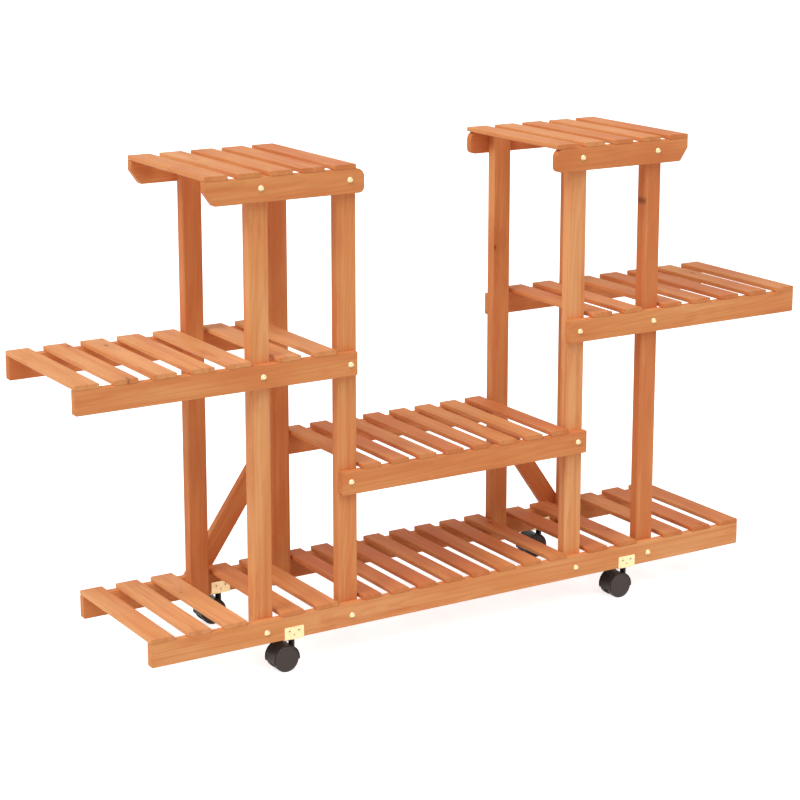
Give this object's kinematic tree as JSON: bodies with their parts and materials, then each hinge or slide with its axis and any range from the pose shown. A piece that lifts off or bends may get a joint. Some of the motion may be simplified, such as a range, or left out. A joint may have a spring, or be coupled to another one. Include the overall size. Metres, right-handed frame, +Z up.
{
  "type": "flower cart stand",
  "caption": "Long wooden flower cart: two slatted towers with side shelves, a low centre shelf and a bottom deck on swivel casters.",
  "frame": {"origin": "on the floor, under the middle of the cart's overall box", "axes": "+X to the right along the cart, +Y from the front rails to the rear rails, +Z up"},
  "size_m": [1.2922, 0.2724, 0.75],
  "materials": {
    "rail_wood": "satin lacquered softwood, orange-brown",
    "post_wood": "satin lacquered softwood, orange-brown",
    "slat_wood": "satin lacquered softwood, orange-brown",
    "plate_brass": "pale brass-plated sheet steel",
    "bolt_brass": "brass-plated steel, domed heads",
    "screw_brass": "brass-plated steel",
    "pin_steel": "bright zinc-plated steel",
    "caster_black": "black moulded nylon",
    "wheel_black": "black moulded nylon"
  },
  "bodies": {
    "stand_frame": {"bottom_front_rail": "rail_wood", "bottom_rear_rail": "rail_wood", "left_mid_front_rail": "rail_wood", "left_mid_rear_rail": "rail_wood", "right_mid_front_rail": "rail_wood", "right_mid_rear_rail": "rail_wood", "centre_front_rail": "rail_wood", "centre_rear_rail": "rail_wood", "left_top_front_rail": "rail_wood", "left_top_rear_rail": "rail_wood", "right_top_front_rail": "rail_wood", "right_top_rear_rail": "rail_wood", "left_outer_front_post": "post_wood", "left_outer_rear_post": "post_wood", "left_inner_front_post": "post_wood", "left_inner_rear_post": "post_wood", "right_outer_front_post": "post_wood", "right_outer_rear_post": "post_wood", "right_inner_front_post": "post_wood", "right_inner_rear_post": "post_wood", "left_brace": "post_wood", "right_brace": "post_wood", "left_bottom_slats": "slat_wood", "left_tower_bottom_slats": "slat_wood", "centre_bottom_slats": "slat_wood", "right_tower_bottom_slats": "slat_wood", "right_bottom_slats": "slat_wood", "left_mid_slats": "slat_wood", "right_mid_slats": "slat_wood", "centre_slats": "slat_wood", "left_top_slats": "slat_wood", "right_top_slats": "slat_wood", "left_front_plate": "plate_brass", "left_rear_plate": "plate_brass", "right_front_plate": "plate_brass", "right_rear_plate": "plate_brass", "front_bolts": "bolt_brass", "rear_bolts": "bolt_brass", "plate_screws": "screw_brass", "kingpins": "pin_steel"},
    "left_front_caster": {"left_front_caster_housing": "caster_black", "left_front_caster_axle": "pin_steel"},
    "left_front_caster_front_wheel": {"left_front_caster_front_wheel": "wheel_black"},
    "left_front_caster_rear_wheel": {"left_front_caster_rear_wheel": "wheel_black"},
    "left_rear_caster": {"left_rear_caster_housing": "caster_black", "left_rear_caster_axle": "pin_steel"},
    "left_rear_caster_front_wheel": {"left_rear_caster_front_wheel": "wheel_black"},
    "left_rear_caster_rear_wheel": {"left_rear_caster_rear_wheel": "wheel_black"},
    "right_front_caster": {"right_front_caster_housing": "caster_black", "right_front_caster_axle": "pin_steel"},
    "right_front_caster_front_wheel": {"right_front_caster_front_wheel": "wheel_black"},
    "right_front_caster_rear_wheel": {"right_front_caster_rear_wheel": "wheel_black"},
    "right_rear_caster": {"right_rear_caster_housing": "caster_black", "right_rear_caster_axle": "pin_steel"},
    "right_rear_caster_front_wheel": {"right_rear_caster_front_wheel": "wheel_black"},
    "right_rear_caster_rear_wheel": {"right_rear_caster_rear_wheel": "wheel_black"}
  },
  "joints": [
    {"name": "left_front_swivel", "type": "hinge", "parent": "stand_frame", "child": "left_front_caster", "pos_m": [-0.309, -0.12065, 0.04], "axis": [0, 0, 1], "continuous": true},
    {"name": "left_front_front_wheel_spin", "type": "hinge", "parent": "left_front_caster", "child": "left_front_caster_front_wheel", "pos_m": [-0.3245, -0.12065, 0.02], "axis": [0, 1, 0], "continuous": true},
    {"name": "left_front_rear_wheel_spin", "type": "hinge", "parent": "left_front_caster", "child": "left_front_caster_rear_wheel", "pos_m": [-0.3245, -0.12065, 0.02], "axis": [0, 1, 0], "continuous": true},
    {"name": "left_rear_swivel", "type": "hinge", "parent": "stand_frame", "child": "left_rear_caster", "pos_m": [-0.309, 0.11735, 0.04], "axis": [0, 0, 1], "continuous": true},
    {"name": "left_rear_front_wheel_spin", "type": "hinge", "parent": "left_rear_caster", "child": "left_rear_caster_front_wheel", "pos_m": [-0.3245, 0.11735, 0.02], "axis": [0, 1, 0], "continuous": true},
    {"name": "left_rear_rear_wheel_spin", "type": "hinge", "parent": "left_rear_caster", "child": "left_rear_caster_rear_wheel", "pos_m": [-0.3245, 0.11735, 0.02], "axis": [0, 1, 0], "continuous": true},
    {"name": "right_front_swivel", "type": "hinge", "parent": "stand_frame", "child": "right_front_caster", "pos_m": [0.309, -0.12065, 0.04], "axis": [0, 0, 1], "continuous": true},
    {"name": "right_front_front_wheel_spin", "type": "hinge", "parent": "right_front_caster", "child": "right_front_caster_front_wheel", "pos_m": [0.2935, -0.12065, 0.02], "axis": [0, 1, 0], "continuous": true},
    {"name": "right_front_rear_wheel_spin", "type": "hinge", "parent": "right_front_caster", "child": "right_front_caster_rear_wheel", "pos_m": [0.2935, -0.12065, 0.02], "axis": [0, 1, 0], "continuous": true},
    {"name": "right_rear_swivel", "type": "hinge", "parent": "stand_frame", "child": "right_rear_caster", "pos_m": [0.309, 0.11735, 0.04], "axis": [0, 0, 1], "continuous": true},
    {"name": "right_rear_front_wheel_spin", "type": "hinge", "parent": "right_rear_caster", "child": "right_rear_caster_front_wheel", "pos_m": [0.2935, 0.11735, 0.02], "axis": [0, 1, 0], "continuous": true},
    {"name": "right_rear_rear_wheel_spin", "type": "hinge", "parent": "right_rear_caster", "child": "right_rear_caster_rear_wheel", "pos_m": [0.2935, 0.11735, 0.02], "axis": [0, 1, 0], "continuous": true}
  ]
}
